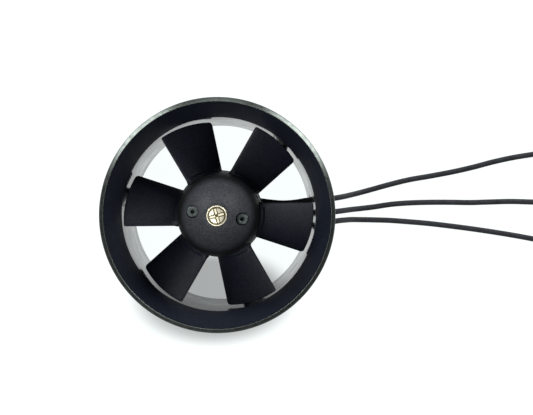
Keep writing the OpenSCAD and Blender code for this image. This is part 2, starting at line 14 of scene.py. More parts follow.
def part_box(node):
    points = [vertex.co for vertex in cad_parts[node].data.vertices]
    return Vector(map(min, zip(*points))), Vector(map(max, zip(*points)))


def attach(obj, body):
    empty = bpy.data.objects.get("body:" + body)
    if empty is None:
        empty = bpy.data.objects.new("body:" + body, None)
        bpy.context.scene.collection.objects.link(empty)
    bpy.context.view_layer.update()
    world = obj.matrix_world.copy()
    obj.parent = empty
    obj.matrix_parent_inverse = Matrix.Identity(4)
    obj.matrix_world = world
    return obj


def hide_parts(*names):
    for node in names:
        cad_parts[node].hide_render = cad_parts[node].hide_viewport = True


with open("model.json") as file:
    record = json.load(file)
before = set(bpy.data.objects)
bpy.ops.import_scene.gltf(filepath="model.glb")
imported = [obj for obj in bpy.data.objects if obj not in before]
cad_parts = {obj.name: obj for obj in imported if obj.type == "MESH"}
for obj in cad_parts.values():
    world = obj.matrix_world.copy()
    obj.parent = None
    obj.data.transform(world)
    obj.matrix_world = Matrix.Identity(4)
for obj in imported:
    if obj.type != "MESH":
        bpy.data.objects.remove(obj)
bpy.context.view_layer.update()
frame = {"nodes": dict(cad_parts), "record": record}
MM = 0.001


def low(node):
    """Lowest corner of a CAD node's box, in millimetres."""
    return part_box(node)[0] / MM


def high(node):
    """Highest corner of a CAD node's box, in millimetres."""
    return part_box(node)[1] / MM


# ---- Driving sizes, read from the frame where it has them ----
TUBE_R = frame["record"]["mounts"][0]["dims"]["r_mm"]
BORE_R = TUBE_R - 1.8
LIP_R = high("intake_ring").x
LIP_Z = high("intake_ring").z
SLEEVE_Z = low("intake_ring").z
THROAT_Z = high("duct_housing").z
RIB_R = high("duct_housing").x
HUB_BOTTOM_Z = low("rotor").z
SEAT_Z = low("spinner").z
SPINNER_R = high("spinner").x
NOSE_Z = high("spinner").z
NOSE_SCREW_R = high("nose_screw").x
NOSE_SCREW_Z = high("nose_screw").z
CAP_Z = low("bell_cap").z
BELL_R = high("bell_can").x
BELL_TOP_Z = high("bell_can").z
TIP_R = BORE_R - 0.8
CUP_R = 14.9
CUP_LOW_Z = 2.5
CUP_TOP_Z = 26.2
VANE_TURN = 49.8
VANE_COUNT = 3

# ---- Camera: its height over the lip, its place beside the axis, and which way it looks ----
CAMERA_RISE = 300
CAMERA_SIDE = (9.24, 5.96)
CAMERA_AIM = Vector((0.0203, -0.01176, -1))
CAMERA_LENS = 64.9
SENSOR_WIDTH = 36


def make_camera():
    """Looks nearly straight down, from a little beside the duct's axis on the +X and +Y sides."""
    data = bpy.data.cameras.new("camera")
    data.lens = CAMERA_LENS
    data.sensor_width = SENSOR_WIDTH
    data.clip_start = 0.01
    camera = bpy.data.objects.new("camera", data)
    back = -CAMERA_AIM.normalized()
    right = Vector((0, 1, 0)).cross(back).normalized()
    up = back.cross(right)
    rotation = Matrix((right, up, back)).transposed().to_4x4()
    place = Vector((*CAMERA_SIDE, LIP_Z + CAMERA_RISE)) * MM
    camera.matrix_world = Matrix.Translation(place) @ rotation
    bpy.context.collection.objects.link(camera)
    bpy.context.scene.camera = camera


# ---- Mesh tools ----
def make_piece(name, points, faces, place=Matrix()):
    """A closed mesh from points in millimetres, moved by place, with its faces turned outwards."""
    mesh = bpy.data.meshes.new(name)
    mesh.from_pydata([(place @ Vector(p)) * MM for p in points], [], faces)
    shell = bmesh.new()
    shell.from_mesh(mesh)
    bmesh.ops.recalc_face_normals(shell, faces=shell.faces)
    shell.to_mesh(mesh)
    shell.free()
    piece = bpy.data.objects.new(name, mesh)
    bpy.context.collection.objects.link(piece)
    return piece


def ring(sides, height, radius_at):
    """A level ring of points about Z, whose radius at each angle is radius_at(angle)."""
    angles = [2 * pi * k / sides for k in range(sides)]
    return [(radius_at(a) * cos(a), radius_at(a) * sin(a), height) for a in angles]


def skin(rows, sides, first=0, around=False):
    """Faces between rows of sides points each, from point first on; around joins the last to the first."""
    faces = []
    for i in range(rows if around else rows - 1):
        a = first + i * sides
        b = first + (i + 1) % rows * sides
        faces += [(a + k, a + (k + 1) % sides, b + (k + 1) % sides, b + k) for k in range(sides)]
    return faces


def lathe(name, outline, turns=192, place=Matrix()):
    """A solid turned about Z from a closed outline of (radius, height) points, then moved by place."""
    points, faces, rings = [], [], []
    for r, z in outline:
        count = 1 if r < 1e-6 else turns
        rings.append([len(points) + k for k in range(count)])
        points += ring(count, z, lambda a: r)
    for a, b in zip(rings, rings[1:] + rings[:1]):
        for k in range(turns):
            corners = [a[k % len(a)], a[(k + 1) % len(a)], b[(k + 1) % len(b)], b[k % len(b)]]
            corners = list(dict.fromkeys(corners))
            if len(corners) > 2:
                faces.append(corners)
    return make_piece(name, points, faces, place)


def loft(name, rows, place=Matrix()):
    """A solid skinned over rows of points, each row a closed loop, with both ends capped."""
    n = len(rows[0])
    last = (len(rows) - 1) * n
    faces = skin(len(rows), n) + [tuple(range(n)), tuple(range(last, last + n))]
    return make_piece(name, [p for row in rows for p in row], faces, place)


def rounded(outline, steps=5):
    """A closed outline from (radius, height, fillet) points, with an arc of that fillet at each corner."""
    done = []
    for i, (x, y, fillet) in enumerate(outline):
        corner = Vector((x, y))
        before = Vector(outline[i - 1][:2]) - corner
        after = Vector(outline[(i + 1) % len(outline)][:2]) - corner
        if fillet == 0:
            done.append((x, y))
            continue
        half = acos(max(-1, min(1, before.normalized().dot(after.normalized())))) / 2
        reach = min(fillet / tan(half), 0.49 * before.length, 0.49 * after.length)
        centre = corner + (before.normalized() + after.normalized()).normalized() * (reach / cos(half))
        first = corner + before.normalized() * reach - centre
        last = corner + after.normalized() * reach - centre
        for k in range(steps + 1):
            done.append(tuple(centre + first.slerp(last, k / steps).normalized() * first.length))
    return done


def smooth_line(points, step=0.8):
    """A smooth line through points, with a point about every step millimetres."""
    points = [Vector(p) for p in points]
    gaps = [(b - a).length for a, b in zip(points, points[1:])]
    pulls = [(points[1] - points[0]) / gaps[0]]
    for i in range(1, len(points) - 1):
        behind = (points[i] - points[i - 1]) / gaps[i - 1]
        ahead = (points[i + 1] - points[i]) / gaps[i]
        pulls.append((behind * gaps[i] + ahead * gaps[i - 1]) / (gaps[i - 1] + gaps[i]))
    pulls.append((points[-1] - points[-2]) / gaps[-1])
    line = [points[0]]
    for a, b, pull_a, pull_b, gap in zip(points, points[1:], pulls, pulls[1:], gaps):
        count = max(1, round(gap / step))
        for k in range(1, count + 1):
            t = k / count
            line.append(
                a * (1 + 2 * t) * (1 - t) ** 2 + pull_a * gap * t * (1 - t) ** 2
                + b * t * t * (3 - 2 * t) + pull_b * gap * t * t * (t - 1)
            )
    return line


def tube_rows(line, radius, sides=20):
    """Rings of points round a line that never runs straight up, square to it."""
    angles = [2 * pi * k / sides for k in range(sides)]
    rows = []
    for i, point in enumerate(line):
        ahead = (line[min(i + 1, len(line) - 1)] - line[max(i - 1, 0)]).normalized()
        side = Vector((0, 0, 1)).cross(ahead).normalized()
        up = ahead.cross(side)
        rows.append([point + radius * (cos(a) * side + sin(a) * up) for a in angles])
    return rows


def boolean(piece, operation, *tools):
    """Joins tools to piece, or cuts them out of it, and removes them."""
    for tool in tools:
        step = piece.modifiers.new("step", "BOOLEAN")
        step.object = tool
        step.operation = operation
        step.solver = "MANIFOLD"
    graph = bpy.context.evaluated_depsgraph_get()
    mesh = bpy.data.meshes.new_from_object(piece.evaluated_get(graph))
    piece.modifiers.clear()
    piece.data = mesh
    for tool in tools:
        bpy.data.objects.remove(tool)


def bar(name, radius, bottom, top, place=Matrix(), turns=48):
    """A plain round tool for cutting."""
    return lathe(name, [(0, bottom), (radius, bottom), (radius, top), (0, top)], turns, place)


def block(name, size, place=Matrix()):
    """A plain box tool for cutting, centred on the origin before place moves it."""
    x, y, z = (side / 2 for side in size)
    loop = [(-x, -y), (x, -y), (x, y), (-x, y)]
    return loft(name, [[(*p, -z) for p in loop], [(*p, z) for p in loop]], place)


def shift(x=0, y=0, z=0):
    """A move, in millimetres."""
    return Matrix.Translation((x, y, z))


def turn(angle, axis="Z"):
    """A turn about an axis through the origin, in degrees."""
    return Matrix.Rotation(radians(angle), 4, axis)


def dress(piece, body, slot, *nodes, crease=38, look=None):
    """Shades a piece, gives it its slot's or look's material, and lets it ride on body for CAD nodes."""
    piece.data.shade_smooth()
    piece.data.set_sharp_from_angle(angle=radians(crease))
    piece.data.materials.clear()
    piece.data.materials.append(materials[look or slot])
    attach(piece, body)
    if nodes:
        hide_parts(*nodes)
    return piece


def paint(piece, look, chosen):
    """Gives one more material to the faces whose middles chosen(radius, height, slope) picks."""
    piece.data.materials.append(materials[look])
    for face in piece.data.polygons:
        centre = face.center / MM
        if chosen(centre.xy.length, centre.z, face.normal.z):
            face.material_index = len(piece.data.materials) - 1


# ---- Leads, the same routes as in the CAD ----
LEAD_R = 1
EXIT_Z = 14.5
INNER_ROUTES = {
    "top": [
        (7, 4, 19.1), (9.5, 4.4, 20.2), (12.5, 4.4, 20.2), (17, 3.9, 18.8), (22, 3.5, 16.8),
        (26.5, 3.8, 15.3), (31, 4.5, 14.5), (35.2, 4.6, 14.5),
    ],
    "middle": [
        (6.5, 0.5, 19.1), (9.5, 0.6, 20.2), (13, 0.8, 20.1), (18, 0.6, 18.6), (22, 0.3, 16.9),
        (26.5, 0, 15.2), (31, 0, 14.5), (35.2, 0, 14.5),
    ],
    "bottom": [
        (6.5, -2.6, 19.1), (9.5, -3.1, 20.2), (13, -3.5, 20.1), (18, -3.9, 18.6), (22, -4.1, 16.9),
        (26.5, -4, 15.2), (31, -3.9, 14.5), (35.2, -3.9, 14.5),
    ],
}
OUTER_ROUTES = {
    "top": [
        (35.2, 4.6, 14.5), (38, 4.9, 14.2), (41.5, 5.4, 12.2), (44.5, 5.9, 8.8), (47.5, 6.5, 5),
        (51, 7.3, 2.2), (55.5, 8.5, 1.1), (62, 10.3, 1.1), (69, 12, 1.1), (77, 13.4, 1.1), (85, 14.9, 1.1),
        (93, 16.7, 1.1), (101, 18.8, 1.1), (108, 20.3, 1.1), (116, 21.6, 1.1), (122, 22.6, 1.6),
        (127, 23, 2.4), (132, 23, 2.4),
    ],
    "middle": [
        (35.2, 0, 14.5), (38, 0.2, 14.2), (41.5, 0.5, 12.2), (44.5, 0.8, 8.8), (47.5, 1.1, 5),
        (51, 1.4, 2.2), (55.5, 1.9, 1.1), (63, 3, 1.1), (70, 3.5, 1.1), (77, 3.7, 1.1), (85, 3.7, 1.1),
        (92, 3.6, 1.1), (99, 3.8, 1.1), (107, 4, 1.1), (115, 3.8, 1.1), (121.5, 3.6, 1.6),
        (127, 3.5, 2.4), (132, 3.5, 2.4),
    ],
    "bottom": [
        (35.2, -3.9, 14.5), (38, -3.5, 14.2), (41.5, -2.9, 12.2), (44.5, -2.7, 8.8), (47.5, -2.6, 5),
        (51, -2.7, 2.2), (55.5, -2.8, 1.1), (62, -3, 1.1), (69, -3.5, 1.1), (76, -4.1, 1.1),
        (83, -4.9, 1.1), (93, -6.2, 1.1), (103, -7.7, 1.1), (109, -8.7, 1.1), (115, -9.8, 1.1),
        (121.5, -11, 1.6), (127, -11.4, 2.4), (132, -11.4, 2.4),
    ],
}


def make_lead(which):
    """One free lead, from the grommet along the table into its connector."""
    line = [Vector((p.x, p.y, max(p.z, LEAD_R))) for p in smooth_line(OUTER_ROUTES[which])]
    lead = loft(f"silicone_lead_{which}", tube_rows(line, LEAD_R))
    dress(lead, "duct", "lead_rubber", f"lead_{which}")
    sleeve = make_sleeve(which)
    bullet = make_bullet(which)


def at_lead_end(which, x):
    """Moves a shape drawn along Z to the straight end of a lead."""
    end = OUTER_ROUTES[which][-1]
    return shift(x, end[1], end[2]) @ turn(90, "Y")


def make_sleeve(which):
    """Heat-shrink sleeve: tight on the lead, then stretched over the bullet's back, with faint wrinkles."""
    x = low(f"sleeve_{which}").x
    length = high(f"sleeve_{which}").x - x
    outside = [
        (0, 1.22), (0.25, 1.34), (0.8, 1.36), (2.2, 1.38), (3, 1.5), (3.8, 1.86), (4.6, 2.2), (5.2, 2.27),
        (6.2, 2.25), (7.4, 2.26), (8.4, 2.25), (9.4, 2.28), (length - 0.25, 2.28), (length, 2.16),
    ]
    step, lead_hole_r, bullet_hole_r = 5, LEAD_R + 0.02, 1.92
    inside = [
        (length - 0.05, bullet_hole_r), (step, bullet_hole_r), (step - 0.1, lead_hole_r), (0.05, lead_hole_r),
    ]
    sides, stations = 40, 60
    rows = []
    for k in range(stations + 1):
        h = length * k / stations
        r = between_points(outside, h)
        rows.append(ring(sides, h, lambda a: r + wrinkle(h, a)))
    rows += [ring(sides, h, lambda a: r) for h, r in inside]
    faces = skin(len(rows), sides, around=True)
    sleeve = make_piece(f"heatshrink_{which}", [p for row in rows for p in row], faces, at_lead_end(which, x))
    return dress(sleeve, "duct", "shrink_sleeve", f"sleeve_{which}")


def wrinkle(height, angle):
    """Small unevenness of a shrunk sleeve, never outwards past its outline."""
    waves = sin(3 * angle + 1.7 * height) * sin(2.1 * height + 0.8) + 0.6 * sin(5 * angle - 2.6 * height)
    return -0.012 * (1.6 + waves)


def between_points(table, x):
    """Straight-line value at x from a table of (x, value) points."""
    for (x0, y0), (x1, y1) in zip(table, table[1:]):
        if x <= x1:
            return y0 + (y1 - y0) * (x - x0) / (x1 - x0)
    return table[-1][1]


def make_bullet(which):
    """Gold-plated bullet: barrel, collar, and a hollow sprung pin split by two crossing slots."""
    x = low(f"bullet_{which}").x
    outline = rounded([
        (0, 0, 0), (1.9, 0, 0.1), (1.9, 5.75, 0.1), (2.1, 5.95, 0.08), (2.1, 6.6, 0.12), (1.5, 6.8, 0.15),
        (1.5, 7.5, 0.5), (1.78, 9.3, 1.2), (1.78, 10.5, 1.2), (1.5, 12, 0.4), (1.5, 12.55, 0.25),
        (1, 13.4, 0.2), (0, 13.4, 0),
    ])
    slot_size, slot_middle = (6, 0.26, 4.3), 9.95
    hole_r, hole_low, hole_high = 0.9, 8.2, 14
    place = at_lead_end(which, x)
    bullet = lathe(f"bullet_plug_{which}", outline, 72, place)
    slots = [
        block("slot", slot_size, place @ turn(45 + 90 * i) @ shift(0, 0, slot_middle)) for i in range(2)
    ]
    hole = bar("hole", hole_r, hole_low, hole_high, place)
    boolean(bullet, "DIFFERENCE", *slots, hole)
    return dress(bullet, "duct", "gold_plate", f"bullet_{which}")


def make_inner_leads():
    """The leads inside the duct, from the motor out to the grommet; the first stands for their CAD node."""
    for i, (which, route) in enumerate(INNER_ROUTES.items()):
        piece = loft(f"inner_lead_{which}", tube_rows(smooth_line(route), LEAD_R))
        dress(piece, "duct", "lead_rubber", *(["inner_leads"] if i == 0 else []))


# ---- Duct ----
def make_intake_ring():
    """Nearly conical mouth, a polished band sloping from its crest to the lip, and the sleeve on the tube."""
    band_slope, flare_curve, steps = 35, 1.15, 40
    crest_r = LIP_R - 1.45
    lip_corner_z = LIP_Z - (LIP_R - crest_r) * tan(radians(band_slope))
    back_z = LIP_Z - 4
    sleeve_r = TUBE_R + 1.2
    inner_r = TUBE_R + 0.01
    width, depth = crest_r - BORE_R, LIP_Z - THROAT_Z
    flare = [
        (BORE_R + width * (k / steps) ** flare_curve, THROAT_Z + depth * k / steps, 0) for k in range(steps)
    ]
    outside = [
        (crest_r, LIP_Z, 0.3), (LIP_R, lip_corner_z, 0.5), (LIP_R, back_z, 0.4), (LIP_R - 1.2, back_z, 0.3),
        (TUBE_R + 0.3, THROAT_Z + 3.4, 2.5), (sleeve_r, THROAT_Z + 1.4, 0.8), (sleeve_r, SLEEVE_Z, 0.4),
        (inner_r, SLEEVE_Z, 0.1), (inner_r, THROAT_Z, 0),
    ]
    mouth = lathe("intake_mouth", rounded(flare + outside, 8), 256)
    dress(mouth, "duct", "matt_plastic", "intake_ring")
    paint(mouth, "polished_band", lambda r, z, slope: r > crest_r - 0.09 and z > back_z + 0.5)


def vane_rows(turn_angle):
    """Sections of one stator vane from the motor cup out to the tube, thickened towards both walls."""
    top, bottom, sideways, thickness, fillet = 24, 6, 4.3, 1.4, 1.6
    inner, outer = CUP_R - 0.6, BORE_R + 0.6
    sweep = 2 * atan2(sideways, top - bottom)
    camber_r = (top - bottom) / sin(sweep)
    centre = sideways / 2 - camber_r
    front_y, front_z = centre + camber_r * cos(sweep), bottom + camber_r * sin(sweep)
    side_angles = [sweep * j / 16 for j in range(17)]
    front_angles = [sweep + pi * j / 9 for j in range(1, 9)]
    rear_angles = [-pi * j / 6 for j in range(1, 6)]
    place = turn(turn_angle)
    stations = 32
    rows = []
    for k in range(stations + 1):
        r = inner + (outer - inner) * (1 - cos(pi * k / stations)) / 2
        wall = max(0, min(r - CUP_R, BORE_R - r))
        spread = fillet - sqrt(fillet ** 2 - max(0, fillet - wall) ** 2)
        half = thickness / 2 + 0.8 * spread
        outer_r, inner_r = camber_r + half, camber_r - half
        loop = [(centre + outer_r * cos(a), bottom + outer_r * sin(a)) for a in side_angles]
        loop += [(front_y + half * cos(a), front_z + half * sin(a)) for a in front_angles]
        loop += [(centre + inner_r * cos(a), bottom + inner_r * sin(a)) for a in reversed(side_angles)]
        loop += [(centre + camber_r - half * cos(a), bottom + 0.6 * half * sin(a)) for a in rear_angles]
        rows.append([tuple(place @ Vector((r, y, z))) for y, z in loop])
    return rows


def exit_loop(radius, flats=1):
    """A loop of (y, z) points, radius about the outer two leads' exits; each flat side has flats steps."""
    exits = [route[0][1] for route in OUTER_ROUTES.values()]
    arc = 16
    loop = []
    for y, other, first in ((max(exits), min(exits), -90), (min(exits), max(exits), 90)):
        for k in range(arc + 1):
            a = radians(first + 180 * k / arc)
            loop.append((y + radius * cos(a), radius * sin(a)))
        for k in range(1, flats):
            loop.append((y + (other - y) * k / flats, radius if first < 0 else -radius))
    return loop


def make_duct():
    """Tube, motor cup and three stator vanes, one moulding, with a bright edge on the cup and matt vanes."""
    rib_z, rib_h = 9, 1.4
    tube = lathe("duct_tube", rounded([
        (BORE_R, 0, 0.3), (TUBE_R, 0, 0.4), (TUBE_R, rib_z, 0.25), (RIB_R, rib_z, 0.2),
        (RIB_R, rib_z + rib_h, 0.2), (TUBE_R, rib_z + rib_h, 0.25), (TUBE_R, THROAT_Z, 0.1),
        (BORE_R, THROAT_Z, 0.1),
    ]), 256)
    inside_r, web_z = CUP_R - 1.3, CUP_TOP_Z - 2
    edge_h, edge_w = 0.28, 0.4
    cup = lathe("motor_cup", rounded([
        (inside_r, CUP_LOW_Z, 0.3), (CUP_R, CUP_LOW_Z, 0.4), (CUP_R, CUP_TOP_Z - edge_h, 0.05),
        (CUP_R - edge_w, CUP_TOP_Z, 0.05), (0, CUP_TOP_Z, 0), (0, web_z, 0), (inside_r, web_z, 0.5),
    ]), 192)
    vanes = [loft("vane", vane_rows(VANE_TURN + 360 / VANE_COUNT * i)) for i in range(VANE_COUNT)]
    boolean(tube, "UNION", cup, *vanes)
    bearing_r, screw_r, screw_x, vent_r, vent_x = 4.4, 1.1, 8, 1.7, 10.6
    span = (CUP_TOP_Z - 3, CUP_TOP_Z + 1)
    tools = [bar("hole", bearing_r, *span)]
    for i in range(4):
        tools.append(bar("hole", screw_r, *span, turn(45 + 90 * i) @ shift(screw_x)))
        tools.append(bar("hole", vent_r, *span, turn(90 + 90 * i) @ shift(vent_x)))
    slot_rows = [[(x, y, EXIT_Z + z) for y, z in exit_loop(2)] for x in (BORE_R - 3, TUBE_R + 3)]
    tools.append(loft("slot", slot_rows))
    window_x, window_size = 8, (CUP_R - 7, 14, 4.4)
    tools.append(block("window", window_size, shift(window_x + (CUP_R - 7) / 2, 1.7, 20.2)))
    boolean(tube, "DIFFERENCE", *tools)
    dress(tube, "duct", "duct_plastic", "duct_housing")
    paint(tube, "bright_edge", lambda r, z, slope: CUP_R - 0.5 < r < CUP_R and z > CUP_TOP_Z - 0.4)
    paint(tube, "matt_plastic", lambda r, z, slope: CUP_R + 0.2 < r < BORE_R - 0.1 and z < CUP_TOP_Z)


# ---- Rotor and spinner ----
BLADE_TURN = 51.1
BLADE_COUNT = 6
HUB_FRONT_R = SPINNER_R + 0.15
HUB_REAR_R = HUB_FRONT_R + 0.75
BLADE_ROOT_R = HUB_REAR_R - 1.4
TIP_ROUND = 0.35
SCREW_TURN = -8.4
SCREW_X = 7.8
HEAD_SEAT_Z = SEAT_Z + 16.1


def blade_half_arc(r):
    """Half the arc that a blade covers at radius r."""
    return 6.4 + 0.16 * (r - 16.5)


def blade_front_z(r):
    """Height of a blade's front edge at radius r."""
    return 38 + 0.21 * (r - 14.5)


def blade_rear_z(r):
    """Height of a blade's rear edge at radius r."""
    return 27.8 + 0.04 * (r - 14.5)


def corner_cut(t):
    """How much shorter a blade is at chord position t (0 front, 1 rear), for its tip's rounded corners."""
    chord = 2 * blade_half_arc(TIP_R)
    rear_corner, front_corner = 1.1, 0.5
    cut = 0
    for corner, distance in ((rear_corner, (1 - t) * chord), (front_corner, t * chord)):
        near = max(0, 1 - distance / corner)
        cut = max(cut, corner * (1 - sqrt(1 - near * near)))
    return cut


def blade_point(r_full, t, side):
    """A blade's surface at radius r_full and chord position t; side is 1 in front and -1 behind."""
    r = r_full - corner_cut(t) * (r_full - BLADE_ROOT_R) / (TIP_R - BLADE_ROOT_R)
    u = (r_full - BLADE_ROOT_R) / (TIP_R - BLADE_ROOT_R)
    root_thick, tip_thinner, fillet, fillet_reach, camber = 1.7, 0.6, 2.2, 1.3, 4.4
    tip_edge = min(1, (TIP_R - r_full) / TIP_ROUND)
    root_edge = max(0, 1 - (r - HUB_REAR_R) / fillet_reach)
    thick = (root_thick - tip_thinner * u) * max(0.03, sqrt(1 - (1 - tip_edge) ** 2))
    thick += fillet * (1 - sqrt(1 - min(1, root_edge) ** 2))
    half = blade_half_arc(r)
    drop = blade_front_z(r) - blade_rear_z(r)
    pitch = atan2(drop, 2 * half)
    off = camber * t * (1 - t) + side * thick * sqrt(max(0, t ** 0.7 * (1 - t ** 0.7)))
    along = half * (1 - 2 * t) - off * sin(pitch)
    angle = along / r
    return r * cos(angle), r * sin(angle), blade_front_z(r) - drop * t + off * cos(pitch)


def blade_rows():
    """Sections of a blade from inside the hub out to its rounded tip."""
    steps, tip_steps = 26, 5
    radii = [BLADE_ROOT_R + (TIP_R - 0.4 - BLADE_ROOT_R) * k / steps for k in range(steps + 1)]
    radii += [TIP_R - TIP_ROUND * (1 - sin(pi / 2 * k / tip_steps)) for k in range(1, tip_steps + 1)]
    chord = [(1 - cos(pi * k / steps)) / 2 for k in range(steps + 1)]
    loop = [(t, 1) for t in chord] + [(t, -1) for t in chord[-2:0:-1]]
    return [[blade_point(r, t, side) for t, side in loop] for r in radii]


def at_screws():
    """Places of the two spinner screws."""
    return [turn(SCREW_TURN + half) @ shift(SCREW_X) for half in (0, 180)]


def make_rotor():
    """Hub and six blades, one moulding: a cup open towards the motor, with ribs inside."""
    hub_wall, boss_r, boss_z, web_z = 1.8, 6.5, 33, SEAT_Z - 2.2
    hub = lathe("fan_rotor", rounded([
        (0, boss_z, 0), (boss_r, boss_z, 0.3), (boss_r, web_z, 0.6), (HUB_FRONT_R - hub_wall, web_z, 0.8),
        (HUB_REAR_R - hub_wall, HUB_BOTTOM_Z, 0.25), (HUB_REAR_R, HUB_BOTTOM_Z, 0.25),
        (HUB_FRONT_R, SEAT_Z, 0.3), (0, SEAT_Z, 0),
    ]), 240)
    rows = blade_rows()
    blades = [
        loft("blade", rows, turn(BLADE_TURN + 360 / BLADE_COUNT * i)) for i in range(BLADE_COUNT)
    ]
    rib_size, rib_place = (6.2, 1, 6.2), shift(9.4, 0, web_z - 2.6)
    ribs = [block("rib", rib_size, turn(BLADE_TURN + 30 + 60 * i) @ rib_place) for i in range(6)]
    boolean(hub, "UNION", *blades, *ribs)
    shaft_hole_r, screw_hole_r = 2.45, 1
    boolean(
        hub, "DIFFERENCE", bar("hole", shaft_hole_r, boss_z - 2, SEAT_Z + 1),
        *[bar("hole", screw_hole_r, web_z - 1, SEAT_Z + 1, place) for place in at_screws()],
    )
    dress(hub, "fan", "fan_plastic", "rotor")


def dome_line(r, height, top, steps=56):
    """Outline of a dome over the seat, from its rim up to height top."""
    last = asin(top / height)
    return [(r * cos(last * k / steps), SEAT_Z + height * sin(last * k / steps)) for k in range(steps + 1)]


def make_spinner():
    """Domed spinner with a flat nose, two counterbored bosses and a hole for the nose screw."""
    wall, flat_r, hole_r = 1.3, 4, 1.55
    boss_r, screw_hole_r, counterbore_r = 2.3, 1.05, 2
    top = NOSE_Z - SEAT_Z
    height = top / sqrt(1 - (flat_r / SPINNER_R) ** 2)
    outside = dome_line(SPINNER_R, height, top)
    nose = [(flat_r - 0.12, NOSE_Z - 0.02), (flat_r - 0.3, NOSE_Z), (hole_r, NOSE_Z)]
    inside = dome_line(SPINNER_R - wall, height - wall, top - 4)
    spinner = lathe("spinner_dome", outside[:-1] + nose + [(hole_r, NOSE_Z - 4)] + inside[::-1], 240)
    bosses = [bar("boss", boss_r, SEAT_Z, HEAD_SEAT_Z + 0.4, place, 64) for place in at_screws()]
    boolean(spinner, "UNION", *bosses)
    tools = []
    for place in at_screws():
        tools.append(bar("hole", screw_hole_r, SEAT_Z - 1, HEAD_SEAT_Z + 2, place))
        tools.append(bar("counterbore", counterbore_r, HEAD_SEAT_Z, NOSE_Z + 4, place, 96))
    boolean(spinner, "DIFFERENCE", *tools)
    # The spinner's look is the rotor's plastic with painted light and shade, lighter above and darker towards
    # its base.
    dress(spinner, "fan", "fan_plastic", "spinner", crease=30, look="dome_painted_light_and_shade")


def make_spinner_screws():
    """Two black socket-head screws: fluted head with a broken rim, hexagon socket and plain shank."""
    head_r, head_h, shank_r, shank = 1.8, 2, 0.98, 19
    flutes, flute_depth, sides = 30, 0.035, 120
    hex_r, hex_low, hex_wide, hex_high = 0.76, HEAD_SEAT_Z + 0.4, HEAD_SEAT_Z + 0.9, HEAD_SEAT_Z + 3
    hexagon = [(0, hex_low), (hex_r, hex_wide), (hex_r, hex_high), (0, hex_high)]
    profile = [
        (0.4, -shank), (shank_r - 0.15, -shank), (shank_r, -shank + 0.3), (shank_r, 0), (head_r - 0.08, 0),
        (head_r, 0.08), (head_r, 1.8), (head_r - 0.05, 1.93), (head_r - 0.16, head_h),
        (0.95, head_h), (0.85, head_h - 0.08), (0.4, head_h - 0.08),
    ]
    for i, place in enumerate(at_screws()):
        rows = []
        for r, z in profile:
            depth = flute_depth if 0.05 < z < 1.7 and r > head_r - 0.05 else 0
            rows.append(ring(sides, HEAD_SEAT_Z + z, lambda a: r - depth * (1 + cos(flutes * a)) / 2))
        screw = loft(f"socket_screw_{i + 1}", rows, place)
        socket = lathe("hex", hexagon, 6, place @ turn(14 + 70 * i))
        boolean(screw, "DIFFERENCE", socket)
        dress(screw, "fan", "black_steel", *(["spinner_screws"] if i == 0 else []), crease=30)


def make_nose_screw():
    """Gold pan-head screw: a raised rim, a groove, four flat pads and a cross, with painted shade on the
    steep walls inside the rim.
    """
    height = NOSE_SCREW_Z - NOSE_Z
    rim_r, shank_r, shank = NOSE_SCREW_R, 1.48, 14
    outline = rounded([
        (0, -shank, 0), (shank_r - 0.18, -shank, 0), (shank_r, -shank + 0.2, 0.1), (shank_r, 0, 0),
        (rim_r - 0.05, 0, 0.05), (rim_r, 0.3, 0.1), (rim_r, 1.6, 0.15), (rim_r - 0.35, 1.6, 0.08),
        (rim_r - 0.6, 1.25, 0.05), (rim_r - 0.85, height - 0.12, 0.12), (1.2, height - 0.03, 0.6),
        (0, height, 0),
    ])
    screw = lathe("nose_screw_fine", [(r, NOSE_Z + z) for r, z in outline], 144)
    top = NOSE_Z + height
    arm_rows = [
        [(-reach, -half, z), (reach, -half, z), (reach, half, z), (-reach, half, z)]
        for z, reach, half in ((top - 0.5, 2.2, 0.3), (top - 0.04, 2.5, 0.62), (top + 0.1, 2.6, 0.8))
    ]
    arms = [loft("arm", arm_rows, turn(15.5 + 90 * i)) for i in range(2)]
    core_r = 0.5
    core = lathe("core", [(0, top - 1), (core_r, top - 0.52), (core_r, top + 1), (0, top + 1)], 48)
    boolean(screw, "DIFFERENCE", *arms, core)
    dress(screw, "fan", "gold_plate", "nose_screw", crease=30, look="screw_gold")
    # Painted shade: a dark gold on the steep walls of the groove and the cross.
    paint(screw, "recess_painted_shade", lambda r, z, slope: slope < 0.8 and r < rim_r - 0.3 and z > NOSE_Z + 1)


# ---- Motor, as seen from the exhaust end ----
TOOTH_COUNT = 12


def make_windings():
    """Twelve coils, each of seven turns of round wire side by side along its tooth."""
    wire_r, turns_out, first_x, pitch = 0.21, 7, 6.25, 0.42
    half_w, bulge, margin, sides = 1.15, 1.2, 1.55, 8
    low_z, high_z = low("windings").z + margin, high("windings").z - margin
    path = []
    for first, end_z in ((0, high_z), (pi, low_z)):
        for k in range(13):
            a = first + pi * k / 12
            path.append((half_w * cos(a), end_z + bulge * sin(a)))
    points, faces = [], []
    for tooth in range(TOOTH_COUNT):
        place = turn(360 / TOOTH_COUNT * tooth)
        for wire in range(turns_out):
            x = first_x + pitch * wire
            faces += skin(len(path), sides, first=len(points), around=True)
            for y, z in path:
                centre = Vector((y, z))
                middle = Vector((0, high_z if z > high_z else low_z if z < low_z else z))
                out = (centre - middle).normalized()
                for j in range(sides):
                    a = 2 * pi * j / sides
                    spot = centre + out * wire_r * cos(a)
                    points.append(place @ Vector((x + wire_r * sin(a), *spot)))
    coils = make_piece("coil_wires", points, faces)
    dress(coils, "duct", "copper_wire", "windings")


